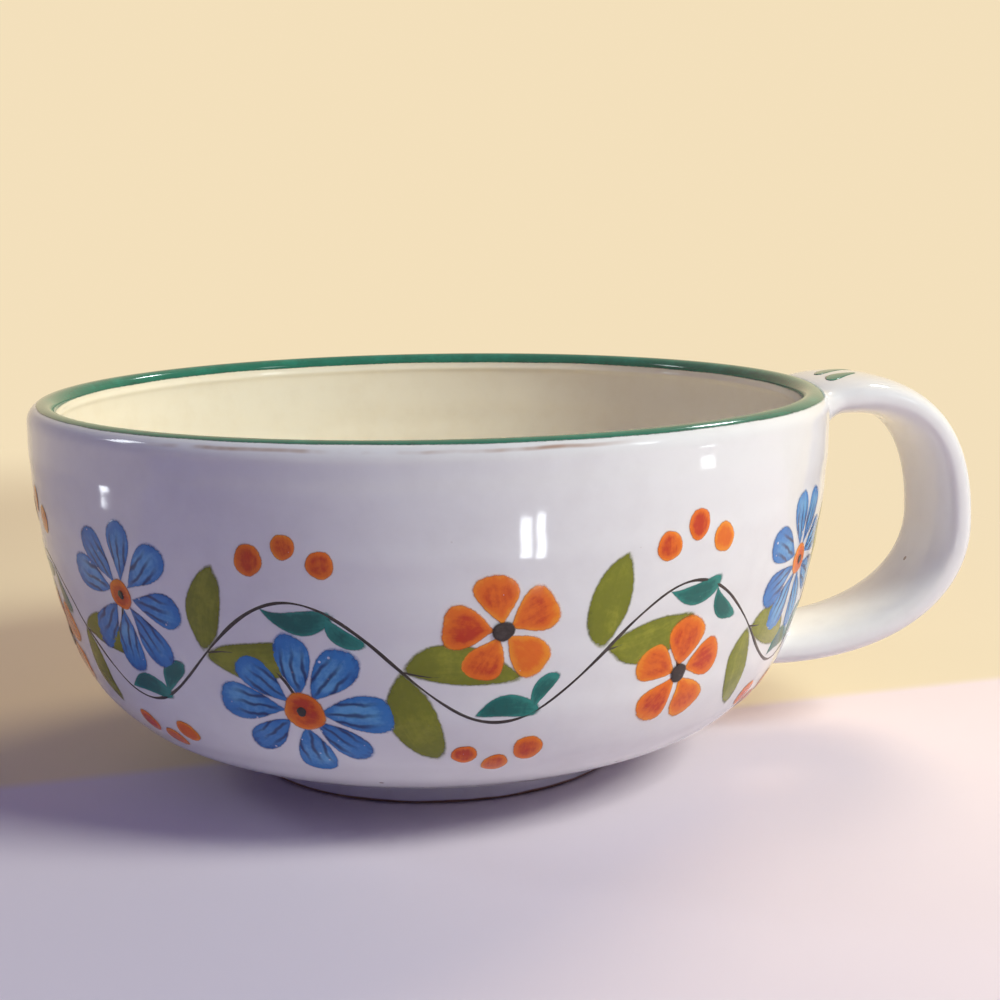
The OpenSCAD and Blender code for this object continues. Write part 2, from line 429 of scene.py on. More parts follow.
# %% Glaze group
def glaze_group():
    """Tone: two noises mix the full and the thin colour. Pinholes: round cells whose centre
    is nearer than a size that most cells don't reach. Height: slow swell plus pinholes."""
    tree, given, out = group(
        "glaze", {"Place": "Vector", "Full": "Color", "Thin": "Color", "Pinhole": "Color",
                  "Pinholes": "Float", "Gloss": "Float"},
        {"Colour": "Color", "Roughness": "Float", "Height": "Float"})
    place = given["Place"]
    slow = noise(place, 28.0, 3.0, 0.55)
    fine = noise(place, 240.0, 3.0, 0.6)
    thin = times(fine, 0.45, times(slow, 0.55))
    tone = blend(ramp(thin, 0.42, 0.68), given["Full"], given["Thin"])
    hole = spots(place, 210.0, 0.9, times(given["Pinholes"], 0.16), 0.035)
    swell = noise(place, 75.0, 2.0, 0.5)
    plug(out, {
        "Colour": blend(times(hole, 0.75), tone, given["Pinhole"]),
        "Roughness": times(fine, 0.05, given["Gloss"]),
        "Height": sums("SUBTRACT", times(fine, 0.12, swell), hole)})
    return tree


GLAZE_GROUP = glaze_group()

# %% Colour group
BUBBLE = rgb(0.78, 0.80, 0.84)


def colour_group():
    """Load of the brush: slow noise, grain, streaks and a rise or fall towards the edge of
    the stroke. It mixes thin into full colour, and full into pooled colour where it is
    highest. Cover falls to nothing close to the edge, unevenly."""
    tree, given, out = group(
        "brushed colour",
        {"Place": "Vector", "Thin": "Color", "Full": "Color", "Pooled": "Color", "Edge": "Float",
         "Load": "Float", "Rim": "Float", "Streaks": "Float", "Bubbles": "Float"},
        {"Colour": "Color", "Cover": "Float", "Height": "Float"})
    place = given["Place"]
    slow = noise(place, 190.0, 3.0, 0.6)
    grain = centred(noise(place, 1500.0, 2.0, 0.6))
    rim = ramp(given["Edge"], 0.45, 0.98)
    load = sums("ADD", given["Load"], centred(slow))
    for part, weight in ((rim, given["Rim"]), (grain, 0.35), (centred(given["Streaks"]), 0.45)):
        load = times(part, weight, load)
    tone = blend(ramp(load, 0.15, 0.6), given["Thin"], given["Full"])
    tone = blend(ramp(load, 0.62, 1.05), tone, given["Pooled"])
    bubble = spots(place, 760.0, 0.60, times(given["Bubbles"], 0.3), 0.08)
    ragged = times(grain, 0.10, given["Edge"])
    plug(out, {
        "Colour": blend(times(bubble, 0.8), tone, BUBBLE),
        "Cover": ramp(ragged, 0.84, 0.985, 1.0, 0.0),
        "Height": sums("SUBTRACT", times(slow, 0.6), bubble)})
    return tree


COLOUR_GROUP = colour_group()


def new_material(name, viewport):
    """A material with its shader and object coordinates ready."""
    material = bpy.data.materials.new(name)
    material.use_nodes = True
    material.diffuse_color = viewport
    shader = material.node_tree.nodes["Principled BSDF"]
    place = put(material.node_tree, "TexCoord").outputs["Object"]
    return material, shader, place


def use_group(which, inputs):
    """A group placed in a material with its own values."""
    return after("Group", inputs, node_tree=which).outputs


def relief(shader, height, distance, strength):
    """A bump of the given depth in metres."""
    bump = after("Bump", {"Height": height, "Distance": distance, "Strength": strength})
    plug(shader, {"Normal": bump.outputs[0]})


def mark(shader, name):
    """A value stored on the mesh."""
    return put(shader.id_data, "Attribute", attribute_name=name).outputs["Fac"]


# %% [markdown]
# ## White glaze outside
# The outside is opaque white, hardly cream, over a red-brown clay. On the lip's
# outer edge the glaze runs thin and the clay breaks through in a fine broken
# brown line, just under the colour band and away from the handle. Height above
# the table says where that line lies, and noise says where it breaks. The
# handle wears the same glaze without the line.

# %% White glaze
WHITE = rgb(0.79, 0.785, 0.80)
WHITE_THIN = rgb(0.755, 0.745, 0.76)
CLAY_SPECK = rgb(0.23, 0.13, 0.08)
CLAY_LINE = rgb(0.36, 0.19, 0.12)
GLAZE_IOR = 1.52
BREAK_Z = 0.0657
BREAK_WAVE = 0.0011


def glaze_finish(name, full, thin, pinholes, gloss):
    """A coat from the glaze group, given back with all that a change of its colour needs."""
    material, shader, place = new_material(name, full)
    coat = use_group(GLAZE_GROUP, {
        "Place": place, "Full": full, "Thin": thin, "Pinhole": CLAY_SPECK,
        "Pinholes": pinholes, "Gloss": gloss})
    plug(shader, {"Base Color": coat["Colour"], "Roughness": coat["Roughness"], "IOR": GLAZE_IOR})
    relief(shader, coat["Height"], 0.00008, 0.55)
    return material, shader, place, coat["Colour"]


def white_glaze(name, broken_line):
    """White coat, then the broken line: nearness to a height that wavers, times a noise gate
    and two gates along x that keep the line to the front."""
    material, shader, place, tone = glaze_finish(name, WHITE, WHITE_THIN, 0.75, 0.05)
    if broken_line:
        spot = after("SeparateXYZ", {0: place}).outputs
        above = times(noise(place, 55.0, 3.0), BREAK_WAVE, sums("SUBTRACT", spot[2], BREAK_Z))
        line = ramp(sums("ABSOLUTE", above), 0.00005, 0.0004, 1.0, 0.0)
        gates = (ramp(noise(place, 38.0, 4.0, 0.65), 0.38, 0.56),
                 ramp(spot[0], 0.008, 0.026, 0.85, 0.0),
                 ramp(spot[0], -0.056, -0.044))
        for gate in gates:
            line = times(line, gate)
        plug(shader, {"Base Color": blend(line, tone, CLAY_LINE)})
    return material


# %% Outside coat
TURNS = 360
COAT_DEPTH = 0.42
BACK_STEPS = 24


def coat_points(out, lift=0.0):
    """Rings of a coat: out along the surface at the given runs, and back a glaze's depth
    below it."""
    run = np.concatenate([out, np.linspace(out[-1], out[0], BACK_STEPS)])
    lift = np.concatenate([lift + np.zeros(len(out)), np.full(BACK_STEPS, -COAT_DEPTH)])
    run, turn = np.broadcast_arrays(run[:, None], full_turn(TURNS))
    return on_bowl(turn, run, np.broadcast_to(lift[:, None], run.shape))


outside = tyre("coat_outside", coat_points(np.linspace(0.0, RUN_CREST, 150)))
dress(outside, white_glaze("white_glaze", True), "white_glaze", "outer_glaze")

# %% [markdown]
# ## Cream glaze inside
# Inside, the same glaze is given a warmer, creamier colour than outside. The coat is a closed
# bag: from the floor's centre out to the lip's crest and back below itself. The
# wet glaze crept back from the colour band and left a low roll under it, which
# catches small glints.

# %% Inside coat
CREAM = rgb(0.87, 0.81, 0.665)
CREAM_THIN = rgb(0.84, 0.77, 0.615)
ROLL_HIGH = 0.25
ROLL_WIDE = 0.42
ROLL_RUN = RUN_CREST + 4.1

inside_run = np.concatenate([
    np.linspace(RUN_FLOOR - 0.6, RUN_CREST + 7.0, 100), np.linspace(RUN_CREST + 6.9, RUN_CREST, 56)])
roll = ROLL_HIGH*np.exp(-((inside_run - ROLL_RUN)/ROLL_WIDE)**2/2)
floor_top = np.array([[0.0, 0.0, FOOT_H + FULL_WALL]])
inside = bags(
    "coat_inside", coat_points(inside_run, roll)[None], floor_top, floor_top - [0.0, 0.0, COAT_DEPTH])
cream_glaze = glaze_finish("cream_glaze", CREAM, CREAM_THIN, 0.6, 0.06)[0]
dress(inside, cream_glaze, "cream_glaze", "inner_glaze")

# %% [markdown]
# ## Colours from the brush
# All the colours on the mug are the same thing: glaze stain on a soft brush. So
# one function makes them all from three tones, thin, full and pooled. Streaks
# follow the stroke, because the noise is read from three marks on the mesh: how
# far across the stroke a point is, how far along it, and a number that differs
# from stroke to stroke. Petals may carry fine darker veins as well.

# %% Brush colours
STAIN_IOR = 1.46


def brush_colour(name, thin, full, pooled, load, rim, bubbles, veins=None):
    """Colour group with streaks of noise drawn out along the stroke. Veins are the places
    near whole steps across the petal, kept to the middle of its length."""
    material, shader, place = new_material(name, rgb(*full))
    across, along, tone = mark(shader, "across"), mark(shader, "along"), mark(shader, "tone")
    drawn = after("CombineXYZ", {0: times(across, 4.0), 1: along, 2: times(tone, 40.0)})
    brushed = use_group(COLOUR_GROUP, {
        "Place": place, "Thin": rgb(*thin), "Full": rgb(*full), "Pooled": rgb(*pooled),
        "Edge": mark(shader, "edge"), "Load": times(tone, 0.3, load - 0.15),
        "Rim": rim, "Streaks": noise(drawn.outputs[0], 1.5, 4.0, 0.65), "Bubbles": bubbles})
    colour = brushed["Colour"]
    if veins:
        bent = times(centred(noise(place, 260.0)), 0.5, across)
        vein = ramp(sums("PINGPONG", bent, 0.24), 0.02, 0.13, 1.0, 0.0)
        gates = (ramp(along, 0.05, 0.25), ramp(along, 0.5, 0.85, 1.0, 0.0), 0.85)
        for gate in gates:
            vein = times(vein, gate)
        colour = blend(vein, colour, rgb(*veins))
    plug(shader, {"Base Color": colour, "Alpha": brushed["Cover"], "Roughness": 0.1, "IOR": STAIN_IOR})
    relief(shader, brushed["Height"], 0.00005, 0.5)
    return material


GREEN = brush_colour(
    "green_colour", (0.008, 0.22, 0.155), (0.001, 0.145, 0.098), (0.001, 0.08, 0.058), 0.5, 0.25, 0.08)

# %% [markdown]
# ## The green band
# The band is one loaded brush held against the turning lip, so its two edges
# waver. The mesh follows the lip between two wavering lines, a few hundredths
# proud and diving under the glaze at its edges.

# %% Rim band
BAND_TURNS = 720
BAND_OUT = 0.42
BAND_LEAN = 0.55
BAND_IN = 1.95
BAND_PROUD = 0.055
BAND_DIVE = 0.012
BAND_UNDER = 0.1
BAND_TOP = 30
BAND_BACK = 8


def waver(turn, beat, shift):
    """An uneven line between about -1 and 1: four sine waves of unrelated beats."""
    beats = np.array([1.0, 2.0, 5.0, 11.0])*beat
    sizes = np.array([0.40, 0.28, 0.2, 0.12])
    starts = shift*np.array([1.0, 2.3, 3.9, 5.1])
    return (sizes*np.sin(np.floor(beats)*turn[..., None] + starts)).sum(axis=-1)


def band_piece():
    """Rings across the lip between the two lines, and back again under the surface. A drop
    below the crest is turned into a length walked on the lip's rounding by an arcsine. The
    brush was held lower on one side, by a steep cosine hump."""
    turn = full_turn(BAND_TURNS)[None, :]
    out_drop = BAND_OUT + BAND_LEAN*(0.5 + 0.5*np.cos(turn + 0.5))**4 + 0.1*waver(turn, 3.0, 1.7)
    in_drop = BAND_IN + 0.2*waver(turn, 2.0, 0.4)
    low = RUN_LIP + LIP_OUT*np.arcsin(1 - out_drop/LIP_OUT)
    high = RUN_CREST + LIP_IN*(QUARTER - np.arcsin(1 - in_drop/LIP_IN))
    share = np.concatenate([np.linspace(0, 1, BAND_TOP), np.linspace(1, 0, BAND_BACK)])[:, None]
    across = 2*share - 1
    top = np.arange(len(share))[:, None] < BAND_TOP
    run = low + share*(high - low)
    lift = np.where(top, BAND_PROUD*(1 - across**8) - BAND_DIVE, -BAND_UNDER) + 0*run
    marks = {"edge": np.abs(across) + 0*run, "across": 1.6*across + 0*run,
             "along": 9*np.cos(turn) + 0*run, "tone": 0.5 + 0*run}
    return tyre("band_on_lip", on_bowl(turn + 0*run, run, lift), marks)


dress(band_piece(), GREEN, "green_colour", "rim_band")

# %% [markdown]
# ## The foot
# The foot ring was turned from the clay and wiped clean where it stands, so
# that it wouldn't stick to the kiln shelf. Glaze stops half a millimetre above
# the table in an uneven line, and fills the corner under the bowl.

# %% Foot ring
FOOT_SOFT = 0.9
FOOT_COVE = 1.4
FOOT_TURNS = 240


def foot_outline():
    """Closed section: standing face, softened outer edge, side, cove into the underside,
    then the hidden top and the inner side with its own softened edge."""
    bend = np.linspace(0, QUARTER, 9)
    inner_x = FOOT_R - FOOT_W
    outer = joined(FOOT_R - FOOT_SOFT*(1 - np.sin(bend)), FOOT_SOFT*(1 - np.cos(bend)))
    side = joined(FOOT_R, np.linspace(FOOT_SOFT + 0.3, FOOT_H - FOOT_COVE - 0.2, 9))
    cove = joined(FOOT_R + FOOT_COVE*(1 - np.cos(bend)), FOOT_H - FOOT_COVE*(1 - np.sin(bend)))
    top = np.array([[FOOT_R + FOOT_COVE, FOOT_H + 0.2], [FOOT_R - LAP, FOOT_H + 0.35],
                    [inner_x, FOOT_H + 0.35]])
    inner = joined(inner_x, np.linspace(FOOT_H, FOOT_SOFT + 0.3, 6))
    edge = joined(inner_x + FOOT_SOFT*(1 - np.cos(bend)), FOOT_SOFT*(1 - np.sin(bend)))
    face = joined(np.linspace(inner_x + FOOT_SOFT + 0.2, FOOT_R - FOOT_SOFT - 0.2, 8), 0.0)
    return np.concatenate([outer, side, cove, top, inner, edge, face])


CLAY_DARK = rgb(0.15, 0.075, 0.045)
CLAY_LIGHT = rgb(0.34, 0.19, 0.12)
FOOT_WHITE = rgb(0.74, 0.725, 0.74)
FOOT_THIN = rgb(0.66, 0.63, 0.64)


def bare_clay(place):
    """Two brown tones mixed by fine grit; the grit serves as height too."""
    grit = noise(place, 900.0, 4.0, 0.7)
    return grit, blend(grit, CLAY_DARK, CLAY_LIGHT)


def foot_finish():
    """White glaze above a wavering height, bare brown clay below it, and only the outside
    glazed: the distance from the axis says which side a point is on."""
    material, shader, place = new_material("foot_clay", rgb(0.5, 0.4, 0.33))
    coat = use_group(GLAZE_GROUP, {
        "Place": place, "Full": FOOT_WHITE, "Thin": FOOT_THIN, "Pinhole": CLAY_SPECK,
        "Pinholes": 1.0, "Gloss": 0.1})
    grit, bare = bare_clay(place)
    height = after("SeparateXYZ", {0: place}).outputs[2]
    line = times(noise(place, 90.0, 3.0), -0.0008, height)
    outer = ramp(from_axis(place), 0.0322, 0.0332)
    glazed = times(ramp(line, 0.0001, 0.0004), outer)
    plug(shader, {
        "Base Color": blend(glazed, bare, coat["Colour"]),
        "Roughness": ramp(glazed, 0.0, 1.0, 0.85, 0.12)})
    rough = times(grit, sums("SUBTRACT", 1.0, glazed), coat["Height"])
    relief(shader, rough, 0.00012, 0.6)
    return material


outline = foot_outline()
foot_points = spun(outline[:, None, 0], full_turn(FOOT_TURNS), outline[:, None, 1])
dress(tyre("foot", foot_points), foot_finish(), "foot_clay", "foot_ring")

# %% [markdown]
# ## Clay under the glaze
# The bowl's and the handle's clay bodies stay as they were packed. The clay
# shows only under the bowl, inside the foot ring, where turning left it bare.

# %% Clay bodies
def clay_finish():
    """Grit in two browns, with turning lines: a sine of the distance from the axis."""
    material, shader, place = new_material("bare_clay", rgb(0.27, 0.15, 0.09))
    grit, bare = bare_clay(place)
    turned = sums("SINE", times(from_axis(place), 5200.0))
    plug(shader, {"Base Color": bare, "Roughness": ramp(grit, 0.2, 0.8, 0.75, 0.92)})
    relief(shader, times(turned, 0.3, grit), 0.00015, 0.7)
    return material


CLAY = clay_finish()
for node in ("bowl", "handle"):
    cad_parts[node].material_slots[0].material = CLAY

# %% [markdown]
# ## The handle
# A pulled strap is pressed on under the lip and on the belly, its ends are
# smoothed into the wall with slip, and the glaze covers all of it. The strap is
# a rounded oblong carried along two curves. For the smoothed ends, each ring
# near the wall is solved to lie at a set distance from the bowl and swollen as
# a round fillet asks: at distance R(1 - sin p) by R(1 - cos p). On the top of
# the upper end the strap runs nearly flush into the lip, so the swelling turns
# into a slight dip there, which leaves the colour band clear.

# %% Strap
STRAP_T = 6.4
STRAP_W = (27.0, 21.0)
OBLONG = 2.5
REACH = 29.2
BOW_DROP = 27.4
SEAT_DROP = 3.8
SEAT_TURN = np.radians(42.0)
RISE = np.radians(12.0)
LOW_RISE = np.radians(-4.0)
TOP_SEAT = np.array([LIP_X, HEIGHT - SEAT_DROP])
BOW = np.array([BOWL_R + REACH - STRAP_T/2, HEIGHT - BOW_DROP])
LOW_SEAT = BELLY_C + (BELLY_R - GLAZE - WALL/2)*down(SEAT_TURN)
UPPER_CURVE = np.array([
    TOP_SEAT, TOP_SEAT + 0.75*(BOW[0] - TOP_SEAT[0])*np.array([1, np.tan(RISE)]),
    BOW + np.array([0, 0.70*(TOP_SEAT[1] - BOW[1])]), BOW])
LOWER_CURVE = np.array([
    BOW, BOW - np.array([0, 0.62*(BOW[1] - LOW_SEAT[1])]),
    LOW_SEAT + 0.62*(BOW[0] - LOW_SEAT[0])*np.array([1, np.tan(LOW_RISE)]), LOW_SEAT])


def strap_line(s):
    """Point and outward direction on the strap's middle line: a cubic curve from the upper
    seat to the bow for s below a half, another one down to the lower seat above it."""
    t = np.where(s < 0.5, 2*s, 2*s - 1)[..., None]
    p = np.where((s < 0.5)[..., None, None], UPPER_CURVE, LOWER_CURVE)
    a, b, c, d = (p[..., k, :] for k in range(4))
    point = (1 - t)**3*a + 3*(1 - t)**2*t*b + 3*(1 - t)*t**2*c + t**3*d
    ahead = unit((1 - t)**2*(b - a) + 2*(1 - t)*t*(c - b) + t**2*(d - c))
    return point, joined(-ahead[..., 1], ahead[..., 0])


def soft(value, power):
    """A power that keeps the sign."""
    return np.sign(value)*np.abs(value)**power


def half_width(s):
    """Half the glazed strap's width: it narrows evenly from the upper to the lower end."""
    return (STRAP_W[0] + (STRAP_W[1] - STRAP_W[0])*s)/2 + GLAZE


def on_strap(s, angle, swell=0.0):
    """Point of the glazed strap: a rounded oblong across the middle line, moved out by the
    swell along its own facing. Angle 0 is the outer face."""
    middle, outward = strap_line(s)
    thick, wide = STRAP_T/2 + GLAZE, half_width(s)
    cosine, sine, power = np.cos(angle), np.sin(angle), 2/OBLONG
    face = unit(joined(soft(cosine, 2 - power)/thick, soft(sine, 2 - power)/wide))
    out = thick*soft(cosine, power) + swell*face[..., 0]
    across = wide*soft(sine, power) + swell*face[..., 1]
    flat = middle + out[..., None]*outward
    return joined(flat[..., 0], across, flat[..., 1])


# %% Smoothed ends
def gap_to_bowl(points):
    """Distance from the bowl's glazed outside, negative inside it: to the arc whose sector
    the point lies in, or to the level of the crest over the bowl's inside."""
    r, z = np.hypot(points[..., 0], points[..., 1]), points[..., 2]
    lip_c = (LIP_X, HEIGHT - LIP_OUT)
    arcs = ((UNDER_C, UNDER_R), (BELLY_C, BELLY_R), (SIDE_C, SIDE_R), (lip_c, LIP_OUT))
    under, belly, side, lip = (np.hypot(r - c[0], z - c[1]) - radius for c, radius in arcs)
    from_side = np.arctan2(SIDE_C[1] - z, r - SIDE_C[0])
    from_belly = np.arctan2(BELLY_C[1] - z, r - BELLY_C[0])
    lower = np.where(from_side < SIDE_TURN, side, np.where(from_belly < UNDER_TURN, belly, under))
    upper = np.where(z > lip_c[1], lip, r - BOWL_R)
    gap = np.where(z > WIDEST_Z, upper, lower)
    return np.where((r < LIP_X) & (z > WIDEST_Z), z - HEIGHT, gap)


STRAP_SIDES = 112
SPAN_RINGS = 122
FILLET = (4.2, 3.6)
DIP = 0.3
DIP_HALF = 0.9
SUNK = 0.35
END_RINGS = 15
TOP_SEARCH = (-0.06, 0.30)
LOW_SEARCH = (1.2, 0.70)
HALVINGS = 44


def solve_end(angle, bend, fillet, amount, inside, outside):
    """Rings near one end, from the wall outwards. For each ring and side, halving finds the
    place on the middle line where the swollen point has the wanted gap to the bowl."""
    want = np.where(bend > QUARTER, -SUNK, fillet*(1 - np.sin(np.minimum(bend, QUARTER))))[:, None]
    swell = (1 - np.cos(np.minimum(bend, QUARTER)))[:, None]*amount
    low = np.full(swell.shape, inside)
    high = np.full(swell.shape, outside)
    angles = np.broadcast_to(angle, swell.shape)
    for _ in range(HALVINGS):
        middle = (low + high)/2
        too_near = gap_to_bowl(on_strap(middle, angles, swell)) < want
        low, high = np.where(too_near, middle, low), np.where(too_near, high, middle)
    return (low + high)/2, swell


def handle_points():
    """Rings of the upper end, the free span and the lower end, one after the other. From the
    sides of the strap to its top, the upper fillet fades into the dip."""
    angle = full_turn(STRAP_SIDES)
    from_top = np.abs((angle + np.pi) % (2*np.pi) - np.pi)
    fade = eased(from_top/DIP_HALF - 1)
    bend = np.concatenate([[2.0], np.linspace(QUARTER, 0.0, END_RINGS)])
    top_amount = FILLET[0]*fade - DIP*(1 - fade)
    low_amount = np.full(STRAP_SIDES, FILLET[1])
    top_s, top_swell = solve_end(angle, bend, FILLET[0], top_amount, *TOP_SEARCH)
    low_s, low_swell = solve_end(angle, bend, FILLET[1], low_amount, *LOW_SEARCH)
    share = np.linspace(0, 1, SPAN_RINGS)[1:-1, None]
    span_s = top_s[-1] + share*(low_s[-1] - top_s[-1])
    s = np.concatenate([top_s, span_s, low_s[::-1]])
    swell = np.concatenate([top_swell, 0*span_s, low_swell[::-1]])
    return on_strap(s, np.broadcast_to(angle, s.shape), swell)


strap_points = handle_points()
low_r, low_z = BELLY_C + (BELLY_R - 3.2)*down(SEAT_TURN)
upper_end = np.array([[LIP_X - 0.3, 0.0, HEIGHT - SEAT_DROP - 1.0]])
lower_end = np.array([[low_r, 0.0, low_z]])
glazed_handle = bags("glazed_handle", strap_points[None], upper_end, lower_end)
handle_glaze = white_glaze("handle_glaze", False)
dress(glazed_handle, handle_glaze, "white_glaze", "handle_glaze", "upper_joint", "lower_joint")
print("handle reaches %.1f mm" % strap_points[..., 0].max())

# %% [markdown]
# ## Two strokes on the crown
# The same green closes the handle: two short strokes, side by side and aslant,
# each set down blunt and lifted off to a point. A stroke is a path on the
# strap, given by a length along it and a place across it, with a flat lens
# carried along the path.

# %% Handle strokes
STROKE_FROM = np.array([[4.6, -8.4], [4.4, -2.0]])
STROKE_TO = np.array([[10.8, -2.4], [13.2, 6.8]])
STROKE_W = np.array([3.6, 3.3])[:, None]
LENS_ACROSS = np.array([-1.0, -0.7, -0.35, 0.0, 0.35, 0.7, 1.0, 0.5, -0.5])
LENS_LIFT = np.array([-0.02, 0.05, 0.09, 0.1, 0.09, 0.05, -0.02, -0.12, -0.12])


def on_crown(length, across, lift):
    """Point over the strap's outer face. Length is measured on the middle line, and the
    place across is turned into an angle of the oblong."""
    table = np.linspace(0, 0.5, 400)
    steps = np.linalg.norm(np.diff(strap_line(table)[0], axis=0), axis=-1)
    s = np.interp(length, np.concatenate([[0.0], np.cumsum(steps)]), table)
    return on_strap(s, np.arcsin(soft(across/half_width(s), OBLONG/2)), lift)


def crown_strokes():
    """Two paths that swing a little to one side, with the lens carried along each. A stroke
    is widest near its start: a sine of a bent share, made blunt by a power."""
    share = np.linspace(0.0, 1.0, 42)[1:-1]
    ahead = STROKE_TO - STROKE_FROM
    beside = unit(joined(-ahead[:, 1], ahead[:, 0]))
    swing = 0.7*np.sin(np.pi*share)[:, None]*beside[:, None]
    path = STROKE_FROM[:, None] + share[:, None]*ahead[:, None] + swing
    wide = STROKE_W*np.sin(np.pi*share**0.8)**0.55
    spread = path[:, :, None] + (0.5*wide[..., None]*LENS_ACROSS)[..., None]*beside[:, None, None]
    points = on_crown(spread[..., 0], spread[..., 1], LENS_LIFT + 0*spread[..., 0])
    ends = np.stack([STROKE_FROM, STROKE_TO])
    tips = on_crown(ends[..., 0], ends[..., 1], np.full((2, 2), -0.04))
    marks = {"edge": (np.abs(LENS_ACROSS), 1.0), "across": (LENS_ACROSS, 0.0),
             "along": (3*share[:, None], (0.0, 3.0)), "tone": (0.35, 0.35)}
    return bags("handle_brush", points, tips[0], tips[1], marks)


dress(crown_strokes(), GREEN, "green_colour", "handle_strokes")

# %% [markdown]
# ## A running vine
# The painting is a border that any decorator knows: a wavy stem runs round the
# bowl, and each wave holds a blue daisy and an orange rosette on opposite sides
# of it, with leaves and dots between. Even waves carry the daisy under the stem
# and odd waves above it. Everything is drawn flat, in millimetres to the right
# and up from a place on the wall, and then wrapped round the bowl.

# %% From flat drawing to wall
VINE_FROM = np.radians(22.0)
WAVES = 6
WAVE = np.radians(316.0)/WAVES
VINE_RUN = 48.0
VINE_SWING = 10.0
VINE_R = 68.0


def wrapped(turn, run, side, up, lift):
    """Point of the painting: up along the walk, then sideways by a turn of the step over
    the radius found there."""
    there = run + up
    return on_bowl(turn + side/section(there)[0][..., 0], there, lift)


def vine(phase):
    """Turn and run of the stem after a number of waves: a sine wave round the bowl."""
    return VINE_FROM + WAVE*phase, VINE_RUN + VINE_SWING*np.sin(2*np.pi*phase)


def vine_lean(phase):
    """Direction of the stem, as an angle from upright towards the right."""
    return np.arctan2(WAVE*VINE_R, 2*np.pi*VINE_SWING*np.cos(2*np.pi*phase))


# %% Dabs and lines
DAB_SIDES = 36
DAB_RINGS = np.array([0.0, 0.3, 0.55, 0.75, 0.88, 0.95, 1.0, 1.0, 0.0])


def drop_outline(phi):
    """Teardrop: narrow foot, round tip."""
    return 0.62*np.sin(phi)*np.sin(phi/2)**1.2, (1 - np.cos(phi))/2


def almond_outline(phi):
    """Leaf: pointed at both ends."""
    return 0.5*soft(np.sin(phi), 1.35), (1 - np.cos(phi))/2


def round_outline(phi):
    """Circle."""
    return 0.5*np.sin(phi), (1 - np.cos(phi))/2


def dabs(name, rows, outline, thick, layer, ragged, seed):
    """Closed dabs of colour from rows (turn, run, lean, start, length, width, bend). Each
    ring is the outline shrunk towards its middle and roughened by three waves; the flat place
    is bent, leaned and wrapped. The lift is a lens that dives under the glaze at its edge."""
    rng = np.random.default_rng(seed)
    turn, run, lean, start, length, width, bend = np.asarray(rows, float).T[:, :, None, None]
    phi = full_turn(DAB_SIDES)
    beat = rng.uniform(0, 2*np.pi, (3, len(rows), 1, 1))
    rough = 1 + ragged*(np.cos(2*phi + beat[0]) + 0.6*np.cos(3*phi + beat[1]) + 0.4*np.cos(5*phi + beat[2]))
    x, y = outline(phi)
    q = DAB_RINGS[:, None]
    across, along = q*x*rough, 0.5 + q*(y - 0.5)*rough
    flat_x = across*width + bend*length*(along - 0.25)**2
    flat_y = start + along*length
    side = flat_x*np.cos(lean) + flat_y*np.sin(lean)
    up = flat_y*np.cos(lean) - flat_x*np.sin(lean)
    rise = thick*(1 - q**4) + layer + 0.012*rng.uniform(0, 1, (len(rows), 1, 1))
    rise[:, 6:] = [[-0.015], [-0.12], [-0.12]]
    points = wrapped(turn, run, side, up, rise + 0*side)
    tone = rng.uniform(0, 1, (len(rows), 1, 1))
    marks = {"edge": (q[1:-1], (0.0, 1.0)), "across": (2*across[:, 1:-1], 0.0),
             "along": (along[:, 1:-1], 0.5), "tone": (tone, tone[:, 0])}
    return bags(name, points[:, 1:-1], points[:, 0, 0], points[:, -1, 0], marks)


LINE_ACROSS = np.array([-1.0, -0.5, 0.0, 0.5, 1.0, 0.0])
LINE_LIFT = np.array([-0.012, 0.03, 0.042, 0.03, -0.012, -0.1])


def lines(name, turn, run, width, shift):
    """Thin brush lines along paths (line, point): a flat lens across the path with a keel
    under the glaze. The brush is lighter at both ends, and its width wanders."""
    share = np.linspace(0, 1, turn.shape[1])
    turned = np.gradient(turn, axis=1)
    ahead = unit(joined(turned*section(run)[0][..., 0], np.gradient(run, axis=1)))
    pressed = np.clip(0.3 + 14*np.minimum(share, 1 - share), 0, 1)
    walked = np.cumsum(np.abs(turned), axis=1)
    wide = width*pressed*(1 + 0.25*np.sin(23*walked + shift) + 0.15*np.sin(51*walked + 2*shift))
    step = 0.5*wide[..., None]*LINE_ACROSS
    side, up = -ahead[..., 1, None]*step, ahead[..., 0, None]*step
    points = wrapped(turn[..., None], run[..., None], side, up, LINE_LIFT + 0*step)
    tips = [on_bowl(turn[:, k], run[:, k], np.full(len(turn), -0.05)) for k in (0, -1)]
    marks = {"edge": (np.abs(LINE_ACROSS), 1.0), "across": (LINE_ACROSS, 0.0),
             "along": (60*walked[..., None], 0.0), "tone": (0.6, 0.6)}
    return bags(name, points, tips[0], tips[1], marks)


# %% Layout of the border
DAISY_OFF = 18.0
ROSETTE_OFF = 15.5
rng = np.random.default_rng(20)
waves = np.arange(WAVES)
odd = waves % 2
daisy_phase = waves + 0.25 + 0.5*odd
rosette_phase = waves + 0.75 - 0.5*odd
daisy_turn, daisy_run = vine(daisy_phase)
daisy_run = daisy_run + np.where(odd, DAISY_OFF, -DAISY_OFF)
rosette_turn, rosette_run = vine(rosette_phase)
rosette_run = rosette_run + np.where(odd, -ROSETTE_OFF, ROSETTE_OFF)


def ring_rows(turn, run, petals, start, length, width):
    """Rows of petals spread evenly round each centre, each a little off."""
    count = (len(turn), petals)
    lean = rng.uniform(0, 2*np.pi, (count[0], 1)) + 2*np.pi*np.arange(petals)/petals
    lean = lean + rng.normal(0, 0.07, count)
    size = rng.normal(1, 0.06, count)
    rows = joined(turn[:, None], run[:, None], lean, start, length*size, width*size, 0.0)
    return rows.reshape(-1, 7)


